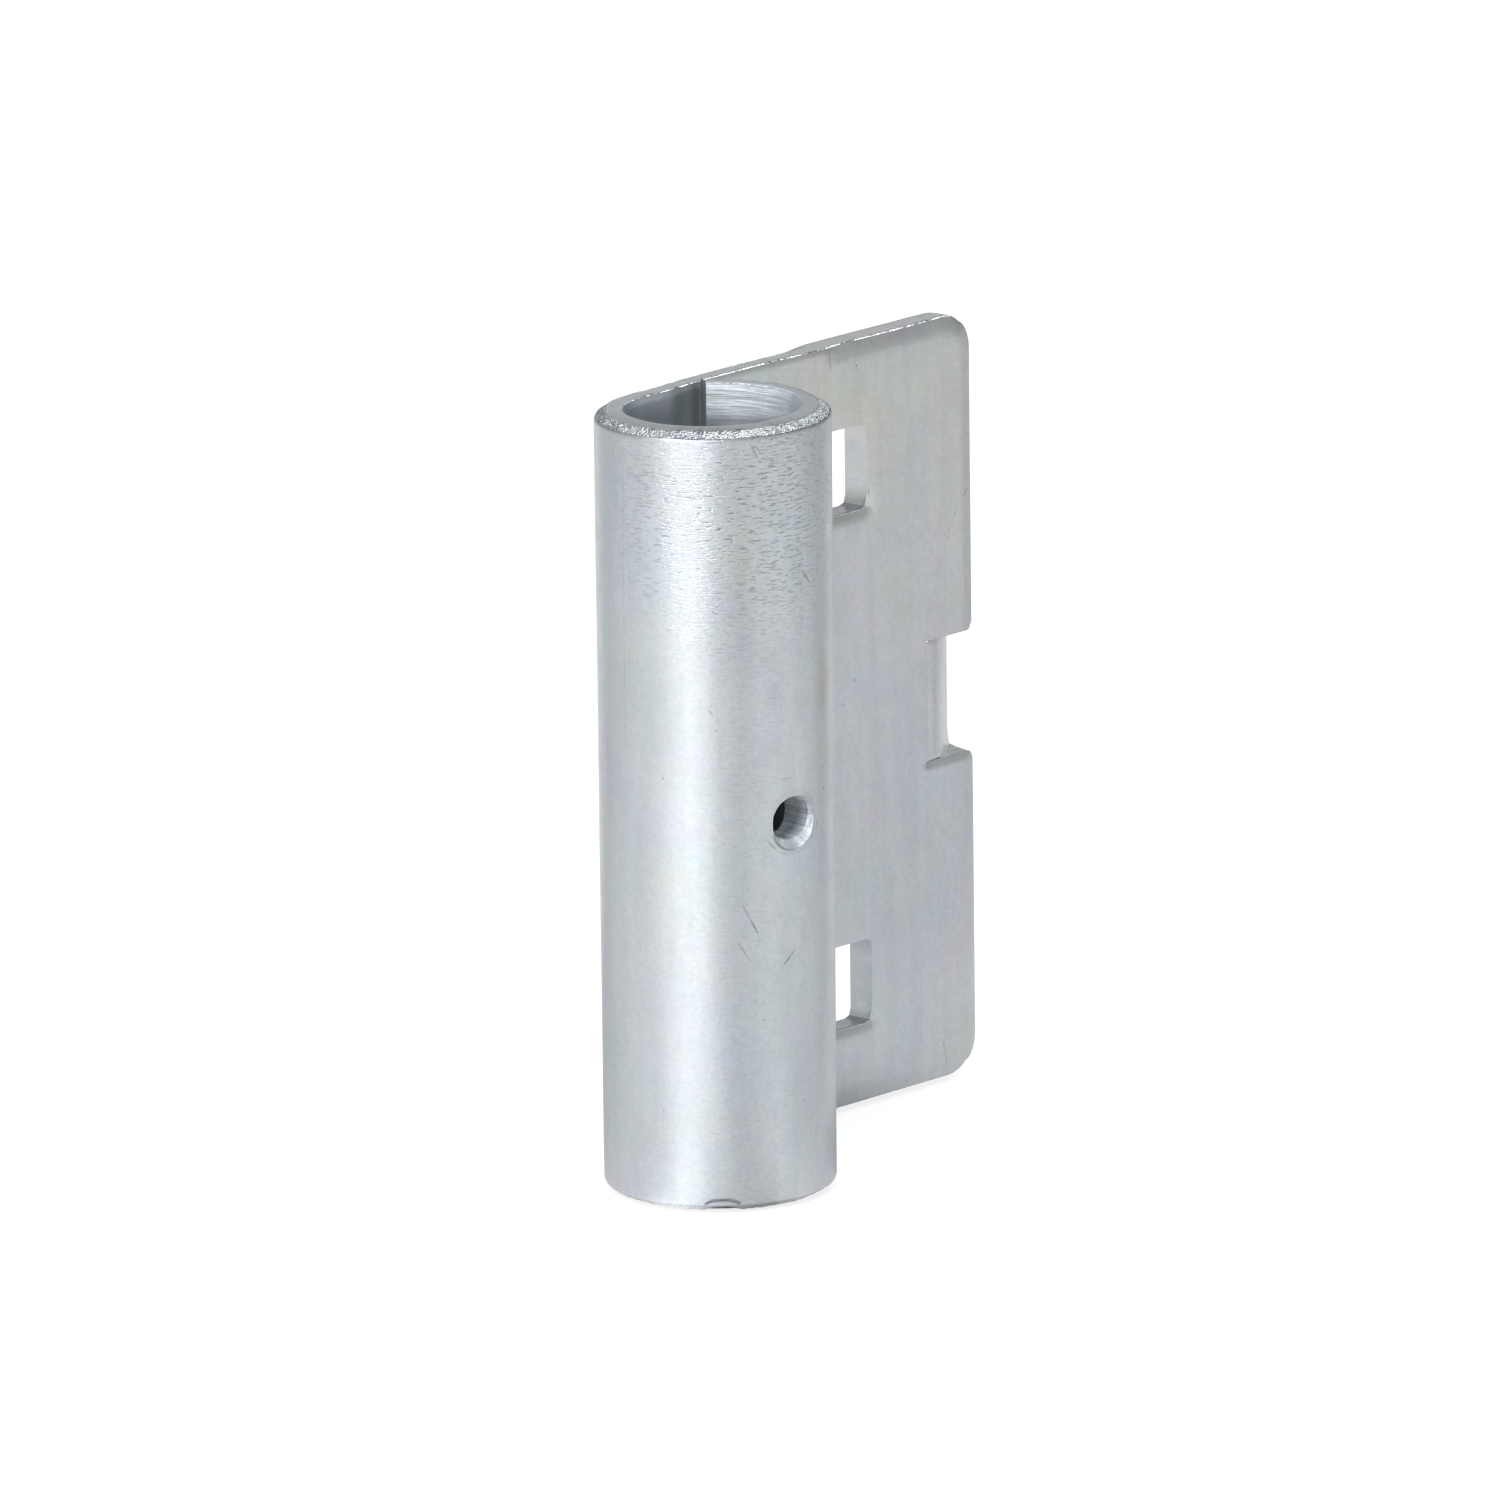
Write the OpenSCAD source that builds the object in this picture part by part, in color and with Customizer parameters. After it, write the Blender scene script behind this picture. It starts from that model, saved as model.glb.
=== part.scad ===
// Garage door roller bracket, in millimetres.
// One piece of blanked sheet steel. One side is rolled into a tube that holds the
// roller's spindle, and the rest stays flat as the flange that is bolted to the door.
// The origin is on the tube's axis at its lower end. +Z runs up the tube, the flange
// runs along +X to its free edge, and its back, which lies on the door, faces +Y.

/* [Sheet] */
// Thickness of the sheet
sheet_t = 3; // [2:0.1:4]
// Height of the sheet, from the lower edge to the upper one
sheet_h = 80; // [70:1:120]
// Width of the slanted band that blanking leaves along the flange's front edges
edge_band_w = 1.8; // [0.6:0.1:2.4]
// Depth of that band at the edge itself
edge_band_d = 0.3; // [0.1:0.05:0.5]

/* [Rolled tube] */
// Diameter of the bore that takes the roller's spindle
bore_d = 17.6; // [12:0.1:22]
// Rounding of the outer edge at the tube's ends
rolled_edge_r = 1; // [0.4:0.1:1.5]
// Gap between the roll's free end and the flange
seam_gap = 0.3; // [0.1:0.05:1]

/* [Clamp screw hole] */
// Core diameter of the thread that is tapped through the tube's wall
screw_core_d = 5; // [3.2:0.1:6.8]
// Width of the countersink round the mouth of the thread
screw_mouth_rim = 0.6; // [0.2:0.1:1]
// Angle of the hole round the tube, from straight out of the flange's front
screw_turn = 7; // [0:1:20]

/* [Flange] */
// Distance from the tube's axis to the flange's free edge
flange_reach = 48.8; // [42:0.1:70]
// Distance from the tube's axis to the line where the rolling tool held the sheet
grip_x = 26; // [14:0.5:32]
// Radius of the two corners of the free edge
corner_r = 4; // [2.5:0.1:8]

/* [Square bolt holes] */
// Side of the square hole for the neck of a carriage bolt
bolt_hole_side = 9; // [6.5:0.1:10]
// Corner radius of the square hole
bolt_hole_corner_r = 0.8; // [0.3:0.1:1.5]
// Distance between the centres of the two holes
bolt_hole_pitch = 53.8; // [40:0.1:58]
// Distance from the free edge to the centres of the holes
bolt_hole_inset = 20.5; // [16:0.1:22]
// Width of the slanted band round the front of each hole
bolt_hole_band_w = 1; // [0.4:0.1:1.6]
// How far the punched holes' middle lies under the sheet's middle
punch_drop = 0.3; // [0:0.1:2]

/* [Lanced tab] */
// Height of the tab between its two slits
tab_h = 12.6; // [8:0.1:16]
// Width of each slit at the tab's root
slit_w = 0.2; // [0.1:0.05:0.6]
// Angle by which each slit opens towards the free edge
slit_flare = 3.5; // [0:0.5:8]
// Distance from the free edge to the tab's root
tab_reach = 7; // [5:0.1:9]
// How far the tab's middle lies above the sheet's middle
tab_rise = 0.2; // [0:0.1:2]
// Angle that the tab is bent back by
tab_bend = 33; // [10:1:60]
// Radius of the bend on its inner side
tab_bend_r = 3; // [1:0.1:4]
// Radius of the flange's shoulders beside the slits
shoulder_r = 1; // [0.4:0.1:2]

/* [Nick in the lower edge] */
// Length of the nick along the edge
nick_w = 3.2; // [1:0.1:5]
// Height of the nick above the lower end
nick_h = 0.8; // [0.2:0.1:1.2]
// Depth of the nick into the wall
nick_depth = 0.7; // [0.2:0.1:1.5]
// Angle of the nick round the tube, from straight out of the flange's front
nick_turn = 47; // [10:1:80]

/* [Hidden] */
$fn = 96;
zinc = [0.72, 0.75, 0.77];
// How far a cutting shape reaches clear of the face that it opens
past = 1;
bore_r = bore_d / 2;
tube_r = bore_r + sheet_t;
punch_mid_z = sheet_h / 2 - punch_drop;
tab_mid_z = sheet_h / 2 + tab_rise;
// Angle at which the outer corner of the roll's free end comes up to the flange
free_end_angle = asin((bore_r - seam_gap) / tube_r);
roll_sweep = 270 + free_end_angle;
bolt_hole_x = flange_reach - bolt_hole_inset;
tab_root_x = flange_reach - tab_reach;
// Length of the tab's flat end: its reach less the bend's length at mid-thickness
tab_flat = tab_reach - (tab_bend_r + sheet_t / 2) * tab_bend * PI / 180;
notch_h = tab_h + 2 * slit_w;
notch_mouth_h = notch_h + 2 * tab_reach * tan(slit_flare);

// Section of the sheet where the roll has drawn it: the outer edges are rounded.
// X is the distance from the tube's axis and Y the height.
module rolled_section() {
    difference() {
        translate([bore_r, 0])
            square([sheet_t, sheet_h]);
        rolled_edge_waste();
        translate([0, sheet_h])
            mirror([0, 1])
                rolled_edge_waste();
    }
}

// What the rounding takes off the lower outer edge
module rolled_edge_waste() {
    translate([tube_r - rolled_edge_r, 0])
        difference() {
            translate([0, -past])
                square([rolled_edge_r + past, rolled_edge_r + past]);
            translate([0, rolled_edge_r])
                circle(r = rolled_edge_r);
        }
}

// The rolled tube, from the back of the flange round to its free end
module roll() {
    rotate([0, 0, 90])
        rotate_extrude(angle = roll_sweep)
            rolled_section();
}

// The flat run from the tube to the line where the tool held the sheet
module run_out() {
    rotate([90, 0, 90])
        linear_extrude(grip_x)
            rolled_section();
}

// Outline of the gripped part of the flange, X along it and Y up it, with the tab's notch
module gripped_outline() {
    difference() {
        union() {
            translate([grip_x, 0])
                square([flange_reach - corner_r - grip_x, sheet_h]);
            translate([grip_x, corner_r])
                square([flange_reach - grip_x, sheet_h - 2 * corner_r]);
            for (z = [corner_r, sheet_h - corner_r])
                translate([flange_reach - corner_r, z])
                    circle(r = corner_r);
        }
        translate([flange_reach, tab_mid_z]) {
            notch();
            for (side = [0, 1])
                mirror([0, side])
                    translate([0, notch_mouth_h / 2])
                        shoulder_waste();
        }
    }
}

// The notch that the tab was bent out of, wider at its mouth than at its root
module notch() {
    polygon([
        [-tab_reach, -notch_h / 2],
        [0, -notch_mouth_h / 2],
        [past, -notch_mouth_h / 2],
        [past, notch_mouth_h / 2],
        [0, notch_mouth_h / 2],
        [-tab_reach, notch_h / 2]
    ]);
}

// What the rounding takes off the shoulder above the notch
module shoulder_waste() {
    difference() {
        translate([-shoulder_r, -past])
            square([shoulder_r + past, shoulder_r + past]);
        translate([-shoulder_r, shoulder_r])
            circle(r = shoulder_r);
    }
}

// The gripped part of the flange, flat out to its free edge
module gripped_flange() {
    difference() {
        translate([0, tube_r, 0])
            rotate([90, 0, 0])
                linear_extrude(sheet_t)
                    gripped_outline();
        translate([0, bore_r, 0])
            edge_bands();
    }
}

// The slanted band round the upper edge, the free edge and the lower edge
module edge_bands() {
    for (side = [0, 1])
        translate([0, 0, side * sheet_h])
            mirror([0, 0, side]) {
                translate([grip_x, 0, 0])
                    straight_band(flange_reach - corner_r - grip_x);
                translate([flange_reach - corner_r, 0, corner_r])
                    corner_band();
            }
    translate([flange_reach, 0, corner_r])
        rotate([0, -90, 0])
            straight_band(sheet_h - 2 * corner_r);
}

// Wedge along X that slants the front of the sheet down to an edge at z = 0
module straight_band(length) {
    rotate([90, 0, 90])
        linear_extrude(length)
            polygon([
                [-past, -past],
                [edge_band_d * (1 + past / edge_band_w), -past],
                [0, edge_band_w],
                [-past, edge_band_w]
            ]);
}

// The same slant round a quarter turn, from +X down to -Z
module corner_band() {
    rotate([-90, 0, 0])
        rotate_extrude(angle = 90)
            polygon([
                [corner_r - edge_band_w, -past],
                [corner_r + past, -past],
                [corner_r + past, edge_band_d * (1 + past / edge_band_w)],
                [corner_r - edge_band_w, 0]
            ]);
}

// The two square punched holes, with the slanted band round the front of each
module bolt_holes() {
    for (side = [-1, 1])
        translate([bolt_hole_x, bore_r, punch_mid_z + side * bolt_hole_pitch / 2])
            rotate([90, 0, 0]) {
                translate([0, 0, -sheet_t - past])
                    linear_extrude(sheet_t + 2 * past)
                        bolt_hole_outline();
                bolt_hole_band();
            }
}

module bolt_hole_outline() {
    straight = bolt_hole_side - 2 * bolt_hole_corner_r;
    square([bolt_hole_side, straight], center = true);
    square([straight, bolt_hole_side], center = true);
    for (x = [-1, 1], y = [-1, 1])
        translate([x * straight / 2, y * straight / 2])
            circle(r = bolt_hole_corner_r);
}

// A low pyramid that opens the hole towards the front, from two crossed prisms
module bolt_hole_band() {
    intersection() {
        rotate([90, 0, 0])
            band_prism();
        rotate([90, 0, 90])
            band_prism();
    }
}

module band_prism() {
    half = bolt_hole_side / 2;
    flare = bolt_hole_band_w / edge_band_d;
    linear_extrude(bolt_hole_side + 2 * bolt_hole_band_w + 2 * past * flare, center = true)
        polygon([
            [-half, -edge_band_d],
            [half, -edge_band_d],
            [half + bolt_hole_band_w + past * flare, past],
            [-half - bolt_hole_band_w - past * flare, past]
        ]);
}

// The tab, cut free along its two slits and bent back at its root
module tab() {
    translate([tab_root_x, tube_r + tab_bend_r, tab_mid_z - tab_h / 2])
        rotate([0, 0, -90]) {
            rotate_extrude(angle = tab_bend)
                translate([tab_bend_r, 0])
                    square([sheet_t, tab_h]);
            rotate([0, 0, tab_bend])
                translate([tab_bend_r, 0, 0])
                    cube([sheet_t, tab_flat, tab_h]);
        }
}

// The core of the tapped hole and its countersunk mouth, on the clamp screw's axis
module screw_hole() {
    rotate([0, 0, -screw_turn])
        translate([0, -tube_r, punch_mid_z])
            rotate([90, 0, 0]) {
                translate([0, 0, -sheet_t - past])
                    cylinder(d = screw_core_d, h = sheet_t + 2 * past);
                translate([0, 0, -screw_mouth_rim])
                    cylinder(
                        d1 = screw_core_d,
                        d2 = screw_core_d + 2 * (screw_mouth_rim + past),
                        h = screw_mouth_rim + past
                    );
            }
}

// The nick that a knock has left in the tube's lower edge
module nick() {
    nick_r = (nick_w * nick_w / 4 + nick_h * nick_h) / (2 * nick_h);
    rotate([0, 0, -nick_turn])
        translate([0, -tube_r, nick_h - nick_r])
            rotate([90, 0, 0])
                cylinder(r = nick_r, h = 2 * nick_depth, center = true);
}

// The whole bracket, one solid
module bracket() {
    color(zinc)
        difference() {
            union() {
                roll();
                run_out();
                gripped_flange();
                tab();
            }
            bolt_holes();
            screw_hole();
            nick();
        }
}

bracket();
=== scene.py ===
import math
import bmesh
import bpy
import numpy as np
from mathutils import Matrix, Vector, noise


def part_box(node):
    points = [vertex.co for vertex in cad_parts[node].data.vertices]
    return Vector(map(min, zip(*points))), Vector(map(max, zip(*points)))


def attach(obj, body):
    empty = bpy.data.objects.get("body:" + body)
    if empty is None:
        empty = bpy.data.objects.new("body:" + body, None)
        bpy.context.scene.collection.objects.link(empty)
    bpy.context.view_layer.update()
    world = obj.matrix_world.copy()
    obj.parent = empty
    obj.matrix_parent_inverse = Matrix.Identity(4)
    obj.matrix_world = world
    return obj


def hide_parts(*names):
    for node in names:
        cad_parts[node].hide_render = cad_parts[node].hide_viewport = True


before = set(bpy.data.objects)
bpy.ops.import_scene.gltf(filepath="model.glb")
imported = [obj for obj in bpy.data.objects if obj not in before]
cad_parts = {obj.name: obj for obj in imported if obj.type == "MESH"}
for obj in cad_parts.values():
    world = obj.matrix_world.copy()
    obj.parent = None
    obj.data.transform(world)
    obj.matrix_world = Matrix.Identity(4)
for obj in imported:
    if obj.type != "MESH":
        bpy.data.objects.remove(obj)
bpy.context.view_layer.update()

# The blank.
# One piece of 3 mm steel sheet, laid out flat, in mm. U runs from the end that will be
# rolled to the free edge, Z up the sheet, W through it from the front to the back.
box_low, box_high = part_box("bracket")
SHEET = 3.0
HEIGHT = round(1000 * box_high[2], 2)
FREE_EDGE = round(1000 * box_high[0], 2)
# The radius of the tube's bore, and of the sheet's middle, which keeps its length
BORE = round(-1000 * box_low[1] - SHEET, 2)
MIDDLE = BORE + SHEET / 2
ROLL = math.radians(316.08)
ROLL_END = -ROLL * MIDDLE
# The tab's root, its lower and upper edge, and the far edges of the slits beside it
TAB_ROOT = 41.8
TAB = (34.12, 46.55)
SLITS = (34.02, 46.58)
# The middles of the two square bolt holes, and half of a side
HOLE_U = 28.3
HOLE_Z = (12.8, 66.6)
HOLE_HALF = 4.5
# The middle of the clamp screw's hole, and half a side of the closer mesh round it
SCREW = (-31.1, 39.7)
PATCH = 4.2
PATCH_STEPS = 22
# Steps of the mesh away from an edge that was cut, close together at the edge
EDGE_STEPS = (0.0, 0.06, 0.13, 0.22, 0.34, 0.5, 0.7, 0.95, 1.25, 1.6, 2.0, 2.5, 3.1, 3.8, 4.6, 5.5)
NEAR_STEPS = EDGE_STEPS[:11]
HOLE_STEPS = (0.0, 0.1, 0.22, 0.4, 0.65, 1.0, 1.5, 2.1, 2.9)


def graded(marks):
    """Places along a line whose spacing changes evenly from one mark to the next."""
    places = []
    for (start, near), (end, far) in zip(marks, marks[1:]):
        length = end - start
        if abs(far - near) < 1e-6:
            count = max(1, round(length / near))
            places += [start + length * k / count for k in range(count + 1)]
            continue
        count = max(1, round(length * math.log(far / near) / (far - near)))
        growth = far / near
        places += [start + length * (growth ** (k / count) - 1) / (growth - 1) for k in range(count + 1)]
    return places


def one_line(*groups):
    """All the places of the groups in order, with doubles left out."""
    places = sorted(round(p, 5) for group in groups for p in group)
    kept = [places[0]]
    for place in places[1:]:
        if place - kept[-1] > 0.02:
            kept.append(place)
    return kept


patch_left, patch_right = SCREW[0] - PATCH, SCREW[0] + PATCH
patch_low, patch_high = SCREW[1] - PATCH, SCREW[1] + PATCH
patch_step = 2 * PATCH / PATCH_STEPS
hole_left, hole_right = HOLE_U - HOLE_HALF, HOLE_U + HOLE_HALF
u_lines = one_line(
    graded([(ROLL_END, 0.06), (ROLL_END + 1.2, 0.4), (patch_left, 0.4)]),
    graded([(patch_left, patch_step), (patch_right, patch_step)]),
    # The mesh is closer where the nick in the lower edge comes
    graded([(patch_right, 0.35), (-26.1, 0.24), (-21.7, 0.24), (-20.6, 0.4), (0.0, 0.5)]),
    graded([(0.0, 0.5), (hole_left - 2.9, 0.8)]),
    [hole_left - s for s in HOLE_STEPS],
    graded([(hole_left, 0.9), (hole_right, 0.9)]),
    [hole_right + s for s in HOLE_STEPS],
    graded([(hole_right + 2.9, 0.8), (TAB_ROOT, 0.18), (FREE_EDGE - EDGE_STEPS[-1], 0.6)]),
    [FREE_EDGE - s for s in EDGE_STEPS],
)
z_lines = one_line(
    EDGE_STEPS,
    [HEIGHT - s for s in EDGE_STEPS],
    [z + side * (HOLE_HALF + s) for z in HOLE_Z for side in (-1, 1) for s in HOLE_STEPS],
    [z + k for z in HOLE_Z for k in (-3.4, -2.2, -1.1, 0.0, 1.1, 2.2, 3.4)],
    graded([(20.2, 0.9), (SLITS[0] - 2.0, 0.8)]),
    [SLITS[0] - s for s in NEAR_STEPS],
    [TAB[0] + s for s in NEAR_STEPS[:9]],
    graded([(patch_low, patch_step), (patch_high, patch_step)]),
    [TAB[1] - s for s in NEAR_STEPS],
    [SLITS[1] + s for s in NEAR_STEPS],
    graded([(SLITS[1] + 2.0, 0.8), (HOLE_Z[1] - HOLE_HALF - 2.9, 0.9)]),
)

sheet = bmesh.new()
last = bmesh.ops.create_vert(sheet, co=(u_lines[0], 0, z_lines[0]))["vert"][0]
for step in np.diff(u_lines):
    last = bmesh.ops.extrude_vert_indiv(sheet, verts=[last])["verts"][0]
    bmesh.ops.translate(sheet, verts=[last], vec=(step, 0, 0))
row = sheet.edges[:]
for step in np.diff(z_lines):
    made = bmesh.ops.extrude_edge_only(sheet, edges=row)["geom"]
    ends = {g for g in made if isinstance(g, bmesh.types.BMVert)}
    row = [g for g in made if isinstance(g, bmesh.types.BMEdge) and all(v in ends for v in g.verts)]
    bmesh.ops.translate(sheet, verts=list(ends), vec=(0, 0, step))

# The punched blank.
# The press cuts two square holes for the carriage bolts, a round one for the clamp
# screw, and two slits that free the tab.


def punched_away(face):
    u, _, z = face.calc_center_median()
    bolt_hole = abs(u - HOLE_U) < HOLE_HALF and any(abs(z - h) < HOLE_HALF for h in HOLE_Z)
    slit = u > TAB_ROOT and (SLITS[0] < z < TAB[0] or TAB[1] < z < SLITS[1])
    screw = abs(u - SCREW[0]) < PATCH and abs(z - SCREW[1]) < PATCH
    return bolt_hole or slit or screw


bmesh.ops.delete(sheet, geom=[f for f in sheet.faces if punched_away(f)], context="FACES")

# Rings of faces lead from the square patch down to the round screw hole
RINGS = 9
SCREW_RING = 2.5


def on_patch(v):
    return max(abs(v.co.x - SCREW[0]), abs(v.co.z - SCREW[1])) < PATCH + 0.01


rim = [e for e in sheet.edges if e.is_boundary and all(on_patch(v) for v in e.verts)]
spokes = {}
for v in {v for e in rim for v in e.verts}:
    du, dz = (v.co.x - SCREW[0]) / PATCH, (v.co.z - SCREW[1]) / PATCH
    if abs(du) >= abs(dz):
        angle = (0 if du > 0 else math.pi) + math.copysign(1, du) * dz * math.pi / 4
    else:
        angle = math.copysign(1, dz) * math.pi / 2 - math.copysign(1, dz) * du * math.pi / 4
    spokes[v] = (v.co.x - SCREW[0], v.co.z - SCREW[1], angle)
for k in range(RINGS):
    into = (k + 1) / RINGS
    reach = PATCH * (1 - into) + SCREW_RING * into
    made = bmesh.ops.extrude_edge_only(sheet, edges=rim)["geom"]
    ends = {g for g in made if isinstance(g, bmesh.types.BMVert)}
    rim = [g for g in made if isinstance(g, bmesh.types.BMEdge) and all(v in ends for v in g.verts)]
    moved = {}
    for v in ends:
        outer = next(o for o in (e.other_vert(v) for e in v.link_edges) if o in spokes)
        du, dz, angle = spokes[outer]
        round_share = min(1.0, 1.6 * into)
        square = reach / PATCH
        v.co.x = SCREW[0] + du * square * (1 - round_share) + math.cos(angle) * reach * round_share
        v.co.z = SCREW[1] + dz * square * (1 - round_share) + math.sin(angle) * reach * round_share
        moved[v] = (du, dz, angle)
    spokes = moved

# The sheet gets its thickness, and its cut walls are divided from front to back
WALL_STEPS = 13
THREAD_STEPS = 32
bmesh.ops.recalc_face_normals(sheet, faces=sheet.faces[:])
made = bmesh.ops.extrude_face_region(sheet, geom=sheet.faces[:], use_keep_orig=True)["geom"]
bmesh.ops.translate(sheet, verts=[g for g in made if isinstance(g, bmesh.types.BMVert)], vec=(0, SHEET, 0))


def round_the_screw(v):
    return math.hypot(v.co.x - SCREW[0], v.co.z - SCREW[1]) < SCREW_RING + 0.05


across = [e for e in sheet.edges if abs(e.verts[0].co.y - e.verts[1].co.y) > SHEET / 2]
thread_edges = [e for e in across if round_the_screw(e.verts[0])]
wall_edges = [e for e in across if not round_the_screw(e.verts[0])]
bmesh.ops.subdivide_edges(sheet, edges=wall_edges, cuts=WALL_STEPS - 1, use_grid_fill=True)
bmesh.ops.subdivide_edges(sheet, edges=thread_edges, cuts=THREAD_STEPS - 1, use_grid_fill=True)
bmesh.ops.recalc_face_normals(sheet, faces=sheet.faces[:])

steel = bpy.data.meshes.new("bracket_steel")
sheet.to_mesh(steel)
sheet.free()
flat = np.empty(3 * len(steel.vertices))
steel.vertices.foreach_get("co", flat)
U, W, Z = flat.reshape(-1, 3).T.copy()
blank_u, blank_w, blank_z = U.copy(), W.copy(), Z.copy()

# The cut edges.
# The punch draws the front edges down, shears the first part of the wall smooth and
# breaks the rest off rough, with a burr. The roll leaves its ends with a rough rim.


def ease(x, low, high):
    t = np.clip((x - low) / (high - low), 0, 1)
    return t * t * (3 - 2 * t)


def grain(scale, seed=0.0, depth=1):
    """A smooth random height for every point of the blank, about -1 to 1."""
    values = np.empty(len(U))
    for k, (u, w, z) in enumerate(zip(blank_u, blank_w, blank_z)):
        spot = Vector((u / scale + seed, w / scale - seed, z / scale + 2 * seed))
        values[k] = noise.noise(spot) if depth == 1 else noise.fractal(spot, 1.0, 2.0, depth)
    return values


fine = grain(0.61, 3.37)
coarse = grain(1.7, 7.21, 2)
broad = grain(14.0, 11.0, 2)

from_screw = np.hypot(U - SCREW[0], Z - SCREW[1])
is_thread = from_screw < SCREW_RING + 0.05
in_tab = (U > TAB_ROOT + 0.001) & (Z > TAB[0] - 0.001) & (Z < TAB[1] + 0.001)
far = np.full(len(U), 99.0)

# Distance of each point from the nearest edge of each kind
to_low, to_high = Z.copy(), HEIGHT - Z
to_free = FREE_EDGE - U
to_roll_end = U - ROLL_END
to_bolt_hole = np.min([np.maximum(abs(U - HOLE_U), abs(Z - h)) - HOLE_HALF for h in HOLE_Z], axis=0)
# 1 straight below a bolt hole, and less towards its sides
below_each = [(h - Z) / np.maximum(abs(U - HOLE_U), abs(Z - h)) for h in HOLE_Z]
near_each = [abs(Z - h) < 2 * HOLE_HALF for h in HOLE_Z]
below_hole = np.max(below_each, axis=0, where=near_each, initial=-1)
past_root = np.maximum(TAB_ROOT - U, 0)
to_low_slit = np.where(Z < SLITS[0] + 0.001, np.hypot(past_root, SLITS[0] - Z), far)
to_high_slit = np.where(Z > SLITS[1] - 0.001, np.hypot(past_root, Z - SLITS[1]), far)
to_tab_side = np.where(in_tab, np.minimum(Z - TAB[0], TAB[1] - Z), far)
to_long = np.minimum(to_low, to_high)

# How strongly the roll has worked a place, from the flange (0) to the tube (1)
rolled = 1 - ease(U, 20.0, 27.2)
rolled_front = 1 - ease(U, 26.9, 27.9)
through = blank_w / SHEET
wall = (blank_w > 0.001) & (blank_w < SHEET - 0.001)
front = blank_w <= 0.001
back = blank_w >= SHEET - 0.001


def drawn(distance, width, depth, power=1.5):
    """How deep the punch has drawn the face down at a distance from the cut."""
    return depth * np.clip(1 - distance / width, 0, 1) ** power


# The width and depth of the drawn-down band along each kind of edge, and its curve
LONG_BAND, TUBE_BAND, FREE_BAND = (1.95, 0.36, 1.12), (0.8, 0.12), (1.7, 0.26)
HOLE_BAND, LOW_SLIT_BAND, TAB_BAND = (1.25, 0.3, 1.2), (1.0, 0.24, 1.2), (0.6, 0.06)
band = np.maximum.reduce([
    drawn(to_long, *LONG_BAND) * (1 - rolled_front) + drawn(to_long, *TUBE_BAND) * rolled_front,
    drawn(to_free, *FREE_BAND),
    drawn(to_bolt_hole, *HOLE_BAND) * (0.15 + 0.85 * ease(below_hole, 0.55, 0.95)),
    drawn(to_low_slit, *LOW_SLIT_BAND),
    drawn(np.minimum(to_high_slit, to_tab_side), *TAB_BAND),
])
# On the back, the tube's ends have lost their outer corner to a rough, slanted rim
RIM_DROP = 0.73
RIM_FROM = 1.8
out_u = np.zeros(len(U))
out_z = np.zeros(len(U))
W = np.where(front, band, W)
# Walls: the depths follow the drawn-down front, then run straight to the back, with
# closer steps at the front where the edge is crisp
W = np.where(wall, band + (SHEET - band) * through ** 1.35, W)
at_low, at_high = to_low < 0.001, to_high < 0.001
on_long = at_low | at_high
toward_middle = np.where(at_low, 1.0, -1.0)
CREST_WIDTH = 0.22
slant = RIM_DROP * np.clip((W - RIM_FROM) / (SHEET - RIM_FROM), 0, 1) ** 1.15
plain = 0.05 + 0.1 * np.clip((W - 1.2) / 1.8, 0, 1) ** 2
in_the_roll = ease(-U, 7, 13) * (1 - ease(-U, 44, 49))
crest_depth = 0.1 - 0.06 * in_the_roll
crest = crest_depth * np.clip(1 - (W - band) / CREST_WIDTH, 0, 1) ** 2
drop = (slant + 0.085 * np.clip(W, 0, RIM_FROM) * in_the_roll) * rolled + plain * (1 - rolled) + crest
out_z += np.where(on_long & (wall | back), toward_middle * drop, 0)
sign_long = np.where(to_low < to_high, 1.0, -1.0)
edge_drop = crest_depth + 0.05 * (1 - rolled)
out_z += np.where(front, sign_long * edge_drop * np.clip(1 - to_long / 0.95, 0, 1), 0)
# The outer face closes up to the foot of the rim
foot = (RIM_DROP * rolled + 0.15 * (1 - rolled)) * np.clip(1 - to_long / 3.0, 0, 1)
out_z += np.where(back & ~on_long, sign_long * foot, 0)
near_back_edge = drawn(to_long, 0.55, 0.12, 2) * rolled + drawn(to_long, 0.5, 0.16, 2) * (1 - rolled)
W -= np.where(back, near_back_edge, 0)
W -= np.where(back & ~on_long, drawn(to_free, 0.5, 0.16, 2), 0)

# Roughness of the broken part of the cut, strongest on the tube's rim
broken = np.zeros(len(U))
broken = np.where(on_long & (wall | back), rolled * ease(W, 1.7, 1.95), broken)
broken = np.where((to_low_slit < 0.001) & (wall | back), 0.3 * ease(W, 0.5, 0.9), broken)
out_z += np.where(on_long, toward_middle, -0.5) * broken * (0.16 * fine + 0.08 * coarse)
W += broken * 0.12 * fine * (W < SHEET - 0.1)
burr = (0.012 + 0.02 * abs(fine)) * ease(0.5 - abs(W - band), 0, 0.4)
out_z += np.where(on_long & ~back, toward_middle * burr, 0)
out_z += np.where(on_long, toward_middle * 0.01 * abs(coarse), 0)

# The free edge is broken too, and a knock has pushed it out above the middle
at_free = to_free < 0.001
out_u -= np.where(at_free, 0.05 * np.clip(1 - (W - band) / 0.3, 0, 1) ** 2, 0)
out_u -= np.where(at_free & (W > 1.4), 0.012 * (1 + fine), 0)
# The end of the roll is pressed against the flange with its outer corner
SEAM_PRESS = 0.35
at_roll_end = to_roll_end < 0.001
out_u -= np.where(at_roll_end, SEAM_PRESS * through ** 1.5, 0)
out_u -= np.where(back & ~at_roll_end, SEAM_PRESS * np.clip(1 - to_roll_end / 2.0, 0, 1), 0)

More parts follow.
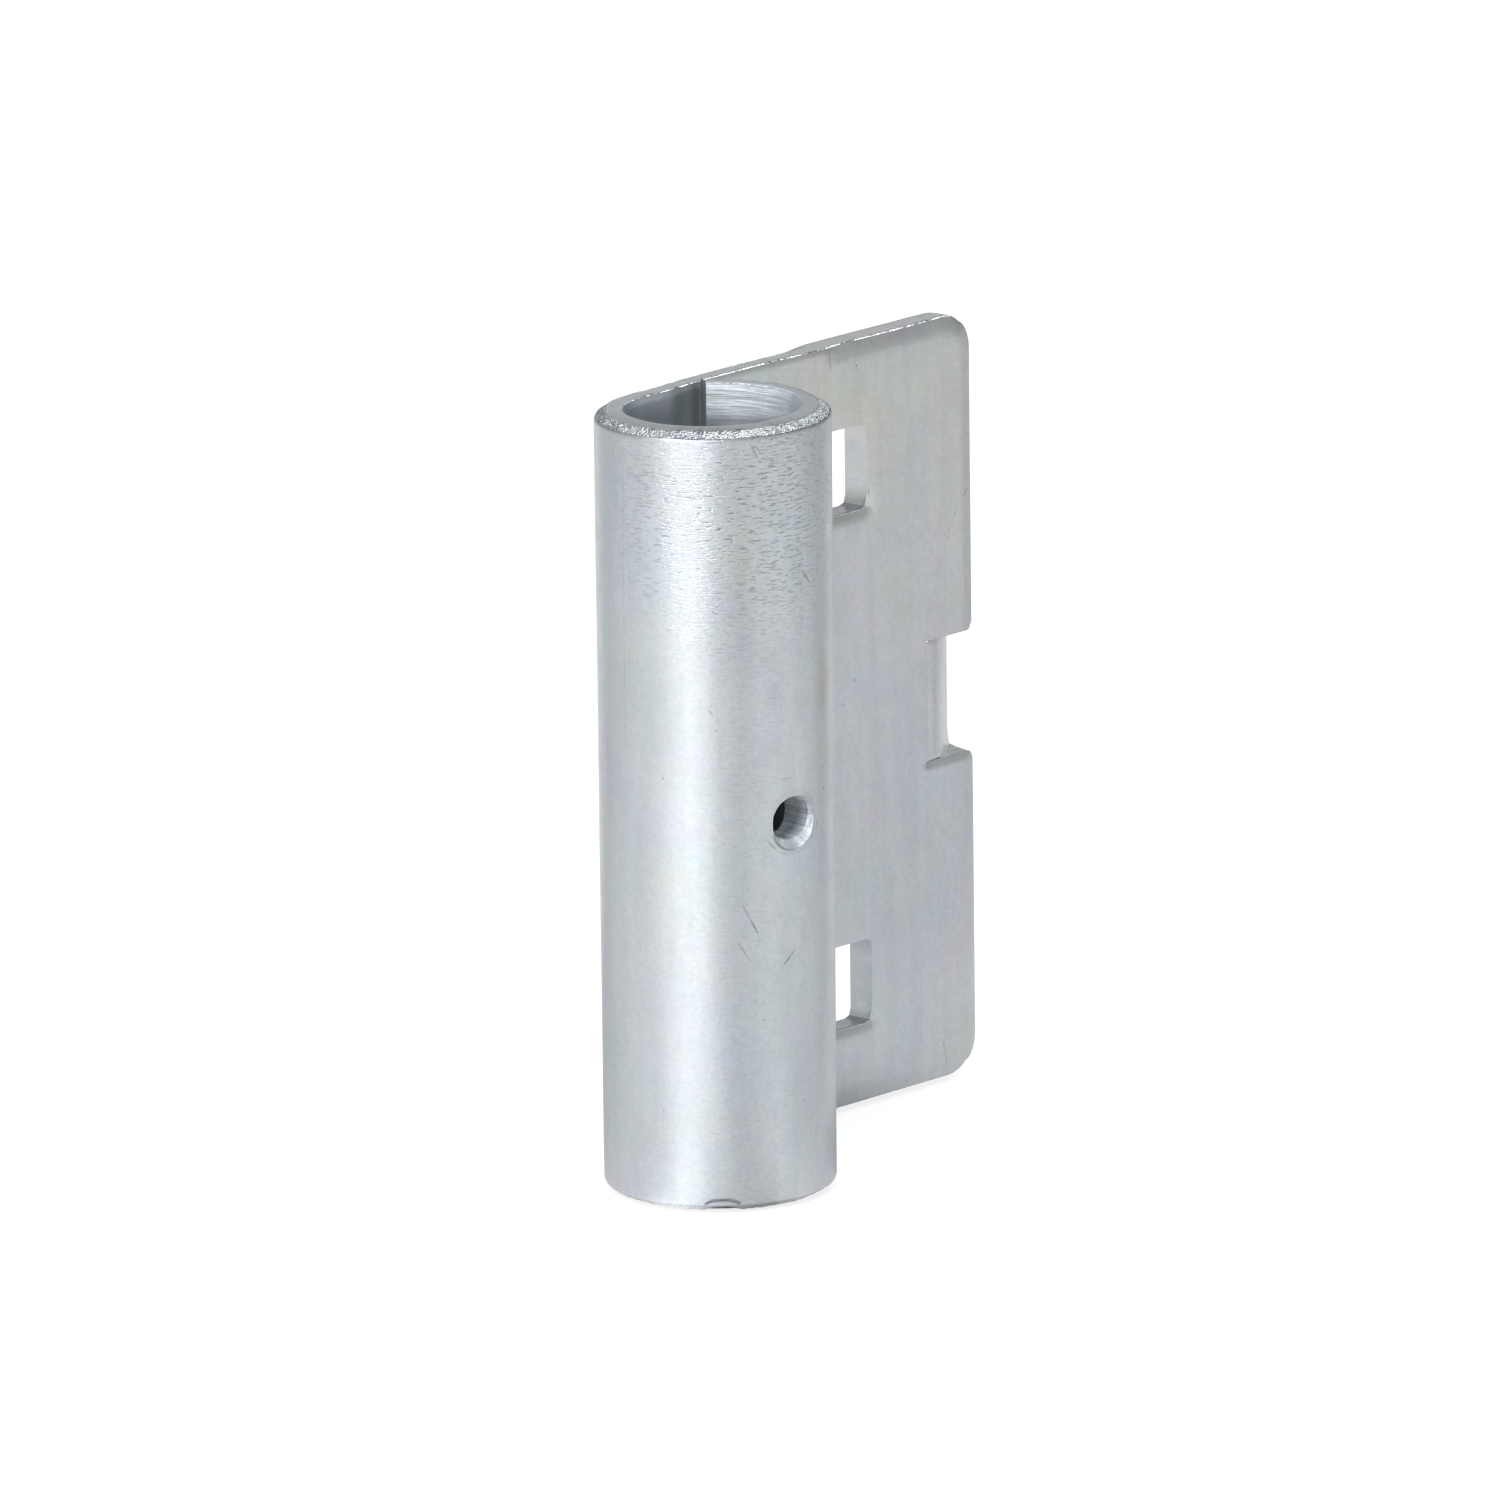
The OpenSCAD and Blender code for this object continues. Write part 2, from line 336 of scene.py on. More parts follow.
# The crisp line where the drawn-down front meets the cut wall, for its own small shine: a smoother gloss,
# and a painted highlight in the colour
to_cut = np.minimum(to_long, np.where(below_hole > 0.9, to_bolt_hole, far))
at_cut = (to_cut < 0.001) & (wall | front)
crest_line = np.where(at_cut, np.clip(1 - (W - band) / 0.3, 0, 1), 0) * (1 - in_the_roll)

# The tab's tip and the slits
out_u -= np.where(in_tab & at_free, 0.02, 0)
U = U + out_u
Z = Z + out_z

# The unevenness of rolled sheet, and the nick that a knock has left in the lower edge
NICK_U = -23.91
NICK_HALF = 1.65
NICK_HEIGHT = 0.85
W += 0.02 * broad * ease(to_long, 0, 6) * (~wall)
nick_across = np.clip(1 - ((blank_u - NICK_U) / NICK_HALF) ** 2, 0, 1)
nick_top = NICK_HEIGHT * np.sqrt(nick_across) + 0.05 * fine
in_nick = (nick_across > 0) & (Z < nick_top) & (blank_w > 1.6)
W -= np.where(in_nick, 0.55 * nick_across ** 0.4 * np.clip((nick_top - Z) / 0.25, 0, 1), 0)


# The rounded corners.
# A point keeps its distance from the edge, and its place along the edge turns with
# the corner. The sides below give which way the edge lies: +1 is up or outwards.
CORNER = 4.0
SHOULDER = 1.0
HOLE_CORNER = 0.8


def turn_corner(u, z, corner_u, side_u, corner_z, side_z, radius, where):
    """Rounds a corner of the sheet that sticks out, within a square of the radius."""
    a = side_u * (corner_u - u)
    b = side_z * (corner_z - z)
    s = np.minimum(a, b)
    along = np.maximum(a, b) - s
    span = radius - s
    bent = where & (span > 1e-6) & (along < span)
    angle = np.where(bent, along / np.where(bent, span, 1) * math.pi / 4, 0)
    direct = math.pi / 4 - angle
    near = span * np.sin(direct)
    over = span * np.cos(direct)
    # The side with the larger distance lies farther from the corner
    far_a = radius - near
    near_a = radius - over
    new_a = np.where(a > b, far_a, near_a)
    new_b = np.where(a > b, near_a, far_a)
    u = np.where(bent, corner_u - side_u * new_a, u)
    z = np.where(bent, corner_z - side_z * new_b, z)
    return u, z


def turn_hole_corner(u, z, corner_u, side_u, corner_z, side_z, radius):
    """Rounds a corner of a hole. The sides say where the hole's corner points."""
    a = side_u * (u - corner_u)
    b = side_z * (z - corner_z)
    s = np.maximum(a, b)
    along = s - np.minimum(a, b)
    span = radius + s
    bent = (s > -0.3) & (s < 2.85) & (along < span)
    angle = np.where(bent, along / np.where(bent, span, 1) * math.pi / 4, 0)
    direct = math.pi / 4 - angle
    high = span * np.cos(direct) - radius
    low = span * np.sin(direct) - radius
    share = 1 - ease(s, 0.9, 2.8)
    new_a = np.where(a > b, high, low) * share + a * (1 - share)
    new_b = np.where(a > b, low, high) * share + b * (1 - share)
    return np.where(bent, corner_u + side_u * new_a, u), np.where(bent, corner_z + side_z * new_b, z)


for corner_z, side_z in ((0.0, -1), (HEIGHT, 1)):
    U, Z = turn_corner(U, Z, FREE_EDGE, 1, corner_z, side_z, CORNER, ~in_tab)
under_tab = (blank_z < SLITS[0] + 0.01) & (blank_z > 30)
over_tab = (blank_z > SLITS[1] - 0.01) & (blank_z < 50)
U, Z = turn_corner(U, Z, FREE_EDGE, 1, SLITS[0], 1, SHOULDER, under_tab)
U, Z = turn_corner(U, Z, FREE_EDGE, 1, SLITS[1], -1, SHOULDER, over_tab)
for hole_z in HOLE_Z:
    for side_u in (-1, 1):
        for side_z in (-1, 1):
            corner_u, corner_z = HOLE_U + side_u * HOLE_HALF, hole_z + side_z * HOLE_HALF
            U, Z = turn_hole_corner(U, Z, corner_u, side_u, corner_z, side_z, HOLE_CORNER)
# Bending the tab back has dragged up the back of the lower slit's edge beside it
dragged = (to_low_slit < 0.001) & (blank_u > TAB_ROOT + 0.5)
Z += np.where(dragged, 0.3 * through ** 1.5 * ease(blank_u, 42.5, 45) * (1 + 0.5 * fine), 0)

# The clamp screw's thread.
# A thread is tapped through the tube's wall after rolling, so the hole is as wide inside
# as outside. The tap has torn its mouth open and pushed a low collar into the bore.
PITCH = 1.0
CORE_R = 2.18
CREST_R = 2.6
CHAMFER = 0.6
spin = np.arctan2(Z - SCREW[1], U - SCREW[0])
height = W.copy()
turns = (height / PITCH + spin / (2 * math.pi)) % 1.0
groove = np.clip(1.15 - 2.3 * abs(turns - 0.5), 0, 1)
thread_r = CORE_R + (CREST_R - CORE_R) * groove * (0.05 + 0.3 * ease(height, 1.9, 2.4))
# The mouth is torn open most at its lower side and at the side away from the flange
lower_side, outer_side = np.clip(-np.sin(spin), 0, 1), np.clip(-np.cos(spin), 0, 1)
flare = 0.14 + 0.62 * lower_side ** 1.3 + 0.1 * outer_side ** 2
mouth = np.clip((height - (SHEET - CHAMFER)) / CHAMFER, 0, 1)
tears = 0.09 * np.sin(height * 23 + 1.5 * spin) * mouth * (lower_side + 0.5 * outer_side)
mouth_r = CORE_R + flare * mouth ** 0.85 + tears
hole_r = np.maximum(thread_r * (mouth < 1), mouth_r)
hole_r = np.where(height > SHEET - 0.02, CORE_R + flare + 0.06 * fine * (0.3 + lower_side), hole_r)
hole_r = np.where(height < 0.02, CORE_R + 0.03, hole_r)
# It is a little wider along the sheet than up it
oval = 1 + 0.13 * np.cos(spin) ** 2
hole_r = hole_r * oval
# Points round the hole move out with its mouth, less and less with the distance
ring_share = np.clip((PATCH - from_screw) / (PATCH - SCREW_RING), 0, 1)
rim_shift = np.where(back, CORE_R + flare, CORE_R + 0.03) * oval - SCREW_RING
new_r = np.where(is_thread, hole_r, from_screw + rim_shift * ring_share ** 1.3)
near_screw = from_screw < PATCH
# A radius across the hole's axis takes up more of the wall's arc deep in the bore
sideways = abs(np.cos(spin))
arc = MIDDLE * np.arcsin(np.clip(new_r * sideways / (BORE + W), 0, 1)) / np.maximum(sideways, 1e-6)
arc_share = np.where(near_screw, ring_share, 0)
reach_u = new_r * (1 - arc_share) + arc * arc_share
U = np.where(near_screw, SCREW[0] + np.cos(spin) * reach_u, U)
Z = np.where(near_screw, SCREW[1] + np.sin(spin) * new_r, Z)
# A low lip stands round the mouth, and the collar round the hole inside the tube
COLLAR = 0.75
lip = np.exp(-((new_r - CORE_R - flare - 0.25) / 0.25) ** 2) * (0.04 + 0.1 * lower_side * (1 + fine))
W += np.where(near_screw & back, np.minimum(lip, 0.14), 0)
W -= np.where(near_screw & front, COLLAR * ring_share ** 7, 0)
W -= np.where(is_thread & ~front, COLLAR * (1 - through) ** 3, 0)

# The rolled and bent sheet.
# The blank is rolled back over its front round a bar, until its end is pressed on the
# flange. Its lower and upper edges rise a little with the roll. The tab is bent back.
climb = ease(-U, 0, 56.8)
top_shift = -0.42 + 0.42 * climb + 0.2 * ease(U, 0, 34) - 0.12 * ease(U, -14, -3) * (1 - ease(U, 2, 9))
top_shift -= 0.13 * ease(U, 14, 24) * (1 - ease(U, 39, 47))
low_shift = 0.32 * (1 - ease(-U, 0, 14)) + 0.2 * ease(-U, 30, 50) + 0.18 * ease(U, 4, 16)
Z += top_shift * ease(Z, 52, HEIGHT) + low_shift * (1 - ease(Z, 0, 28))
top_back = ~front & (to_high < 1.0)
Z += 0.08 * (1 - rolled) * ease(44.5 - U, 0, 3) * top_back * ease(through, 0.2, 1.0)
Z = np.clip(Z, 0, HEIGHT)

BEND = math.radians(33)
BEND_R = 3.0
SOFT_FROM = 39.9
turned = -U / MIDDLE
radius = BORE + W
# It came out a little tighter at the lower end
TAPER = 0.017
tight = 1 - TAPER * (1 - Z / HEIGHT)
X = np.where(U < 0, -np.sin(turned) * radius * tight, U)
Y = np.where(U < 0, radius - (1 - np.cos(turned)) * radius * tight, radius)
# The tab's lower corner gave way less than the rest
low_corner = np.clip((TAB[0] + 2.4 - blank_z) / 2.4, 0, 1)
bend = BEND * (1 - 0.11 * low_corner ** 2.2)
run = U - TAB_ROOT
curl = (BEND_R + SHEET / 2) * bend
angle = np.clip(run / curl, 0, 1) * bend
rest = np.maximum(run - curl, 0)
arm = BEND_R + SHEET - W
tab_x = TAB_ROOT + arm * np.sin(angle) + rest * np.cos(bend)
tab_y = BORE + SHEET + BEND_R - arm * np.cos(angle) + rest * np.sin(bend)
X = np.where(in_tab, tab_x, X)
Y = np.where(in_tab, tab_y, Y)
# The bend starts softly, before the tab's root
soft = np.clip((U - SOFT_FROM) / (TAB_ROOT - SOFT_FROM), 0, 1) ** 2 * ease(TAB_ROOT + 0.4 - U, 0, 0.4)
soft *= ease(blank_z, SLITS[0] - 1.0, SLITS[0] + 1.5)
soft *= 1 - ease(blank_z, SLITS[1] - 2.5, SLITS[1] + 0.5)
Y += 0.075 * soft

steel.vertices.foreach_set("co", np.stack([X, Y, Z], axis=1).ravel() / 1000)
steel.update()

finished = bmesh.new()
finished.from_mesh(steel)
bmesh.ops.recalc_face_normals(finished, faces=finished.faces[:])
finished.to_mesh(steel)
finished.free()

# The flat blank stays on the piece as its UV map, so marks follow the sheet
sheet_map = steel.uv_layers.new(name="blank")
corners = np.empty(len(steel.loops), int)
steel.loops.foreach_get("vertex_index", corners)
sheet_map.data.foreach_set("uv", np.stack([blank_u, blank_z], axis=1)[corners].ravel())

# The bore's wall is scuffed where it runs out to the free end of the roll, most near its
# top, and inside the screw hole the zinc is dull as well
scuff_depth = 0.06 + 0.94 * ease(blank_z, 75.9, 78.0)
on_bore = ease(-blank_u, 40, 51) * (1 - ease(through, 0.0, 0.3)) * scuff_depth
in_wall = np.where(is_thread, 0.9 - 0.3 * ease(height, 2.1, 2.7), 0)

# Painted shade lies under the burr of the tube's rims, less at the lower one
shade_under_rim = rolled * np.where(back, np.clip(1.25 - abs(to_long - 0.07) / 0.13, 0, 1), 0)
shade_under_rim *= ease(-blank_u, 14.5, 22) * (1 - 0.5 * ease(-blank_u, 38, 43))
shade_under_rim *= np.clip(1.1 + 0.8 * coarse, 0.35, 1) * np.where(to_low < to_high, 0.4, 1)
# Painted shade lies in the thread's grooves; the plating is also darker round the lower side of its mouth
# and in a line over the nick
thread_shade = np.where(is_thread, np.clip(1.2 * groove, 0, 1), 0)
round_mouth = np.where(near_screw & back, np.exp(-((new_r - CORE_R - flare - 0.28) / 0.12) ** 2), 0)
round_mouth *= ease(-np.sin(spin), 0.25, 0.6) * ease(np.cos(spin), 0.1, 0.5)
in_line = np.clip(1.2 - abs(blank_z - nick_top - 0.06) / 0.24, 0, 1)
over_nick = np.where(back & (nick_across > 0.05), in_line, 0)
# Painted shade lies in the lower slit under the tab, and the upper corner has a dark line round it
to_corner_edge = np.minimum(to_free, to_high)
corner_line = np.where(front, np.clip(1.3 - to_corner_edge / 0.15, 0, 1), 0)
corner_line *= (blank_u > 40) * (blank_z > 60)
corner_line *= np.where(to_free < to_high, 1 - ease(to_high, 3.5, 7.0), 1 - ease(to_free, 0.5, 3.0))
slit_shade = np.where((to_low_slit < 0.001) & (wall | back), 0.3, 0)
# Painted shade fills the seam and the flange's front beside it, and the tube's flat ends are painted a
# little darker as shade
seam_shade = np.where(front, 0.5 * ease(blank_u, 6.2, 7.0) * (1 - ease(blank_u, 8.9, 9.8)), 0)
seam_shade = np.where(at_roll_end & wall, 0.5, seam_shade)
# The flat ends of the tube's wall are painted darker, as painted shade
end_face_shade = np.where(on_long & wall, 0.15 * in_the_roll * (W < RIM_FROM), 0)
# Stains and painted shade together, kept as one mask that darkens the plating
stains_and_painted_shade = np.maximum.reduce([
    shade_under_rim, 0.15 * thread_shade, over_nick, 0.8 * round_mouth, 0.6 * corner_line, slit_shade, seam_shade, end_face_shade,
])

# Each is kept on the points of the mesh, for the plating to read
for name, values in (
    ("rough_cut", broken), ("through", through), ("scuffed", np.maximum(on_bore, in_wall)),
    ("stains_and_painted_shade", np.clip(stains_and_painted_shade, 0, 1)), ("crest", crest_line),
):
    kept_on = steel.attributes.new(name, "FLOAT", "POINT")
    kept_on.data.foreach_set("value", values)

bracket_steel = bpy.data.objects.new("bracket_steel", steel)
bpy.context.scene.collection.objects.link(bracket_steel)
steel.shade_smooth()
steel.set_sharp_from_angle(angle=math.radians(30))

# The zinc plating.
# Bright zinc over the whole piece, clear passivated: a pale blue-grey metal with faint
# blue, yellow and pink clouds, fine mottling, dull broken edges and handling marks.


def put(tree, kind, wires=None, **settings):
    """Adds a node, with its settings, and wires or sets the inputs that are named."""
    node = tree.nodes.new(kind)
    for name, value in settings.items():
        setattr(node, name, value)
    for name, value in (wires or {}).items():
        if isinstance(value, bpy.types.NodeSocket):
            tree.links.new(value, node.inputs[name])
        else:
            node.inputs[name].default_value = value
    return node


def sums(tree, operation, a, b, clamp=False):
    return put(tree, "ShaderNodeMath", {0: a, 1: b}, operation=operation, use_clamp=clamp).outputs[0]


def vectors(tree, operation, a, b):
    return put(tree, "ShaderNodeVectorMath", {0: a, 1: b}, operation=operation).outputs["Vector"]


def scaled(tree, vector, by):
    return put(tree, "ShaderNodeVectorMath", {0: vector, "Scale": by}, operation="SCALE").outputs["Vector"]


def measured(tree, operation, a, b=(0, 0, 0)):
    """The plain number that a length, a distance or a dot product gives."""
    return put(tree, "ShaderNodeVectorMath", {0: a, 1: b}, operation=operation).outputs["Value"]


def ramped(tree, value, low, high, new_low, new_high):
    wires = {"Value": value, "From Min": low, "From Max": high, "To Min": new_low, "To Max": new_high}
    return put(tree, "ShaderNodeMapRange", wires, interpolation_type="SMOOTHSTEP").outputs[0]


# One scratch or pit: how strongly a point of the sheet lies in it
scratch = bpy.data.node_groups.new("scratch", "ShaderNodeTree")
for name, kind in (
    ("Place", "Vector"), ("Start", "Vector"), ("Run", "Vector"), ("Width", "Float"), ("Wobble", "Float"),
    ("Strength", "Float"), ("Before", "Float"),
):
    scratch.interface.new_socket(name=name, in_out="INPUT", socket_type="NodeSocket" + kind)
scratch.interface.new_socket(name="Mark", in_out="OUTPUT", socket_type="NodeSocketFloat")
scratch.interface.new_socket(name="Place", in_out="OUTPUT", socket_type="NodeSocketVector")
given = scratch.nodes.new("NodeGroupInput").outputs
offset = vectors(scratch, "SUBTRACT", given["Place"], given["Start"])
along = measured(scratch, "DOT_PRODUCT", offset, given["Run"])
whole = measured(scratch, "DOT_PRODUCT", given["Run"], given["Run"])
part_way = sums(scratch, "DIVIDE", along, sums(scratch, "MAXIMUM", whole, 0.0001), clamp=True)
nearest = scaled(scratch, given["Run"], part_way)
gap = measured(scratch, "DISTANCE", offset, nearest)
# It is narrow at its ends and wanders a little
from_middle = sums(scratch, "SUBTRACT", sums(scratch, "MULTIPLY", part_way, 2.0), 1.0)
from_middle = sums(scratch, "ABSOLUTE", from_middle, 0)
taper = sums(scratch, "SUBTRACT", 1.0, sums(scratch, "POWER", from_middle, 2.0))
share = sums(scratch, "ADD", sums(scratch, "MULTIPLY", taper, 0.75), 0.25)
reach = sums(scratch, "MULTIPLY", given["Width"], share)
astray = sums(scratch, "MULTIPLY", given["Wobble"], given["Width"])
edge = sums(scratch, "DIVIDE", sums(scratch, "ADD", gap, astray), reach)
mark = sums(scratch, "MULTIPLY", ramped(scratch, edge, 0.35, 1.0, 1.0, 0.0), given["Strength"])
mark = sums(scratch, "MAXIMUM", mark, given["Before"])
# The marks are worked out one after another: each hands the place on, moved by nothing
# that can be seen, because worked out all at once they are too much for one shader
handed = vectors(scratch, "ADD", given["Place"], sums(scratch, "MULTIPLY", mark, 0.00001))
put(scratch, "NodeGroupOutput", {"Mark": mark, "Place": handed})

# Knocks and scratches by their ends on the blank, with their width and strength
TUBE_MARKS = (
    (-25.9, 71.24, -26.7, 71.18, 0.16, 0.8), (-32.2, 64.9, -33.3, 63.3, 0.13, 0.9),
    (-27.0, 79.0, -27.7, 77.0, 0.14, 0.7), (-27.5, 78.6, -28.0, 77.6, 0.1, 0.6),
    (-23.5, 61.6, -24.05, 61.3, 0.13, 0.7), (-13.1, 51.5, -13.15, 51.4, 0.22, 0.8),
    (-23.05, 51.8, -23.6, 50.8, 0.12, 0.7), (-23.7, 49.5, -23.8, 49.4, 0.2, 0.7),
    (-25.9, 31.6, -27.3, 28.6, 0.15, 0.9), (-25.5, 27.8, -26.55, 25.8, 0.12, 0.7),
    (-31.2, 26.5, -29.75, 24.9, 0.13, 0.85), (-25.2, 23.4, -25.3, 23.3, 0.2, 0.8),
    (-33.2, 19.8, -33.3, 19.75, 0.2, 0.8), (-30.8, 18.0, -30.85, 17.9, 0.17, 0.7),
    (-31.1, 16.0, -31.2, 15.9, 0.22, 0.8), (-28.2, 38.0, -29.2, 36.9, 0.13, 0.8),
    (-29.2, 36.9, -30.4, 36.3, 0.12, 0.6), (-34.4, 39.1, -34.0, 38.1, 0.13, 0.9),
    (-35.2, 41.8, -35.9, 41.85, 0.12, 0.7), (-36.0, 43.2, -36.0, 42.3, 0.1, 0.4),
    (-29.3, 43.95, -30.9, 43.95, 0.12, 0.35), (-32.0, 10.7, -32.1, 10.6, 0.2, 0.7),
    (-33.5, 6.8, -33.55, 6.7, 0.22, 0.8), (-14.9, 79.0, -14.7, 44.0, 0.1, 0.25),
)
FLANGE_MARKS = (
    (31.3, 77.4, 31.4, 77.2, 0.2, 0.8), (34.4, 59.55, 34.5, 59.5, 0.16, 0.8),
    (48.5, 61.7, 46.9, 60.2, 0.14, 0.6), (46.9, 60.2, 45.4, 58.2, 0.12, 0.45),
    (45.4, 58.2, 44.9, 56.4, 0.12, 0.4), (43.4, 4.4, 44.2, 1.1, 0.13, 0.4),
    (38.0, 0.9, 38.1, 0.8, 0.2, 0.7), (27.4, 79.9, 27.45, 77.5, 0.16, 0.6),
    (28.6, 78.3, 28.7, 77.9, 0.14, 0.5), (32.95, 66.2, 32.95, 65.9, 0.12, 0.6),
    (33.0, 64.6, 33.1, 63.3, 0.12, 0.6), (47.2, 55.2, 47.8, 53.6, 0.12, 0.35),
)

zinc = bpy.data.materials.new("zinc_plated_steel")
zinc.use_nodes = True
plate = zinc.node_tree
shader = plate.nodes["Principled BSDF"]
shader.inputs["Metallic"].default_value = 1.0
in_metres = put(plate, "ShaderNodeTexCoord").outputs["Object"]
place = scaled(plate, in_metres, 1000.0)
blank = put(plate, "ShaderNodeUVMap", uv_map="blank").outputs[0]


def stretched(u_scale, z_scale):
    return vectors(plate, "MULTIPLY", blank, (u_scale, z_scale, 1))


def noisy(vector, scale, detail=2.0, distortion=0.0):
    wires = {"Vector": vector, "Scale": scale, "Detail": detail, "Distortion": distortion}
    return put(plate, "ShaderNodeTexNoise", wires)


def painted(name):
    return put(plate, "ShaderNodeAttribute", attribute_name=name).outputs["Fac"]


broken_cut, stained_and_shaded, outer_face = painted("rough_cut"), painted("stains_and_painted_shade"), painted("through")
scuffed, crest_edge_and_glint = painted("scuffed"), painted("crest")
wander = sums(plate, "SUBTRACT", noisy(place, 3.0, 2).outputs["Fac"], 0.5)


def marks(rows):
    """All of the rows' scratches together, the strongest at each point."""
    found, at = 0.0, blank
    for u0, z0, u1, z1, width, strength in rows:
        wires = {
            "Place": at, "Start": (u0, z0, 0), "Run": (u1 - u0, z1 - z0, 0), "Width": width,
            "Wobble": wander, "Strength": strength, "Before": found,
        }
        one = put(plate, "ShaderNodeGroup", wires, node_tree=scratch)
        found, at = one.outputs["Mark"], one.outputs["Place"]
    return found


inner_face = sums(plate, "SUBTRACT", 1.0, outer_face)
on_tube = sums(plate, "MULTIPLY", marks(TUBE_MARKS), outer_face)
on_flange = sums(plate, "MULTIPLY", marks(FLANGE_MARKS), inner_face)
patchy = ramped(plate, noisy(place, 1.9, 2).outputs["Fac"], 0.36, 0.56, 0.35, 1.0)
scratched = sums(plate, "MULTIPLY", sums(plate, "ADD", on_tube, on_flange), patchy)

# Short level lines that the rolling left on the tube, strongest near its upper end
split_blank = put(plate, "ShaderNodeSeparateXYZ", {0: blank}).outputs
near_top = ramped(plate, split_blank["Y"], 54, 72, 0.15, 1.0)
on_right = ramped(plate, split_blank["X"], -36, -26, 0.35, 1.0)
on_front = sums(plate, "MULTIPLY", on_right, ramped(plate, split_blank["X"], -24, -12, 1.0, 0.1))
dashes = ramped(plate, noisy(stretched(1.05, 5.6), 1.0, 3, 0.3).outputs["Fac"], 0.53, 0.66, 0.0, 1.0)
where_rolled = sums(plate, "MULTIPLY", near_top, sums(plate, "MULTIPLY", on_front, outer_face))
rolling = sums(plate, "MULTIPLY", dashes, where_rolled)

# Colour: clouds of interference tints, faint streaks up the sheet, mottling and pits
clouds = noisy(place, 0.075, 3, 0.8).outputs["Color"]
tint = vectors(plate, "SUBTRACT", clouds, (0.5, 0.5, 0.5))
tint = vectors(plate, "MULTIPLY", tint, (0.115, 0.075, 0.12))
small = noisy(place, 0.42, 3, 0.4).outputs["Color"]
small_tint = vectors(plate, "SUBTRACT", small, (0.5, 0.5, 0.5))
small_tint = vectors(plate, "MULTIPLY", small_tint, (0.055, 0.045, 0.06))
ZINC_COLOUR = (0.573, 0.607, 0.640)
tinted = vectors(plate, "ADD", tint, ZINC_COLOUR)
tinted = vectors(plate, "ADD", tinted, small_tint)
# The flange is a little warmer towards its upper end, and one side of the tube is stained
warm_high = ramped(plate, split_blank["Y"], 34, 74, 0.0, 1.0)
warm_end = sums(plate, "MULTIPLY", warm_high, ramped(plate, split_blank["X"], 0, 18, 0.0, 1.0))
stain_gap = measured(plate, "DISTANCE", stretched(1.0, 0.24), (-35.3, 12.6, 0))
stain_gap = sums(plate, "ADD", stain_gap, wander)
stain = sums(plate, "MULTIPLY", ramped(plate, stain_gap, 0.35, 1.15, 1.0, 0.0), outer_face)
for mask, change in ((warm_end, (0.022, 0.004, -0.028)), (stain, (-0.015, -0.065, -0.10))):
    added = scaled(plate, change, mask)
    tinted = vectors(plate, "ADD", tinted, added)
streak = ramped(plate, noisy(stretched(0.55, 0.05), 1.0, 3).outputs["Fac"], 0.25, 0.75, 0.965, 1.035)
mottle = ramped(plate, noisy(place, 2.2, 4).outputs["Fac"], 0.25, 0.75, 0.955, 1.045)
cells = put(plate, "ShaderNodeTexVoronoi", {"Vector": place, "Scale": 0.62, "Randomness": 1.0})
rare = put(plate, "ShaderNodeSeparateColor", {0: cells.outputs["Color"]}).outputs[0]
pit_size = ramped(plate, rare, 0.72, 1.0, 0.0, 0.085)
pits = ramped(plate, sums(plate, "SUBTRACT", cells.outputs["Distance"], pit_size), -0.035, 0.02, 1.0, 0.0)
pits = sums(plate, "MULTIPLY", pits, ramped(plate, rare, 0.70, 0.78, 0.0, 1.0))
shade = sums(plate, "MULTIPLY", streak, mottle)
# The burr along the crisp edges is a row of small beads in the relief, and their colour is a painted glint:
# brighter, with darker gaps between the beads
beads = noisy(place, 2.3, 2).outputs["Fac"]
glint_gaps = sums(plate, "MULTIPLY", crest_edge_and_glint, ramped(plate, beads, 0.42, 0.54, 1.0, 0.0))
# The tube's outer face is painted a little darker than the flange, as painted shade
tube_face_shade = sums(plate, "MULTIPLY", ramped(plate, split_blank["X"], -12, 0, 1.0, 0.0), outer_face)


def less(tone, mask, loss):
    """The tone, with a share of it lost where the mask is 1."""
    return sums(plate, "MULTIPLY", tone, sums(plate, "SUBTRACT", 1.0, sums(plate, "MULTIPLY", mask, loss)))


# Losses darken the colour for pits, scratches, rolling lines and stains; the soil mask also carries painted
# shade, the tube's outer face is darkened as painted shade, and a negative loss paints a highlight on the
# crisp edges
for mask, loss in (
    (pits, 0.26), (scratched, 0.5), (stained_and_shaded, 0.82), (rolling, 0.46), (crest_edge_and_glint, -0.25), (glint_gaps, 0.6),
    (tube_face_shade, 0.07),
):
    shade = less(shade, mask, loss)
# The broken rim is a mass of small bright facets with dark hollows between them
facets = put(plate, "ShaderNodeTexVoronoi", {"Vector": place, "Scale": 4.2, "Randomness": 1.0})
facet_tone = put(plate, "ShaderNodeSeparateColor", {0: facets.outputs["Color"]}).outputs[1]
shade = less(shade, broken_cut, ramped(plate, facet_tone, 0.1, 0.6, 0.28, 0.0))
# The scuffs are light smears with dark ones between them
smears = noisy(stretched(0.22, 4.2), 1.0, 3, 0.5).outputs["Fac"]
shade = less(shade, scuffed, ramped(plate, smears, 0.40, 0.58, 0.32, 0.0))
colour = scaled(plate, tinted, shade)
plate.links.new(colour, shader.inputs["Base Color"])

# Gloss: satin, duller where it is broken, scuffed or scratched
gloss = ramped(plate, noisy(place, 0.5, 4).outputs["Fac"], 0.3, 0.7, 0.335, 0.405)
for mask, gain in (
    (broken_cut, -0.10), (crest_edge_and_glint, -0.18), (scuffed, 0.3), (scratched, 0.15), (stained_and_shaded, 0.2),
):
    gloss = sums(plate, "ADD", gloss, sums(plate, "MULTIPLY", mask, gain))
plate.links.new(gloss, shader.inputs["Roughness"])
# Where it is scuffed the bare zinc has turned partly to a dull white bloom
bare = sums(plate, "SUBTRACT", 1.0, sums(plate, "MULTIPLY", scuffed, 0.62))
plate.links.new(bare, shader.inputs["Metallic"])

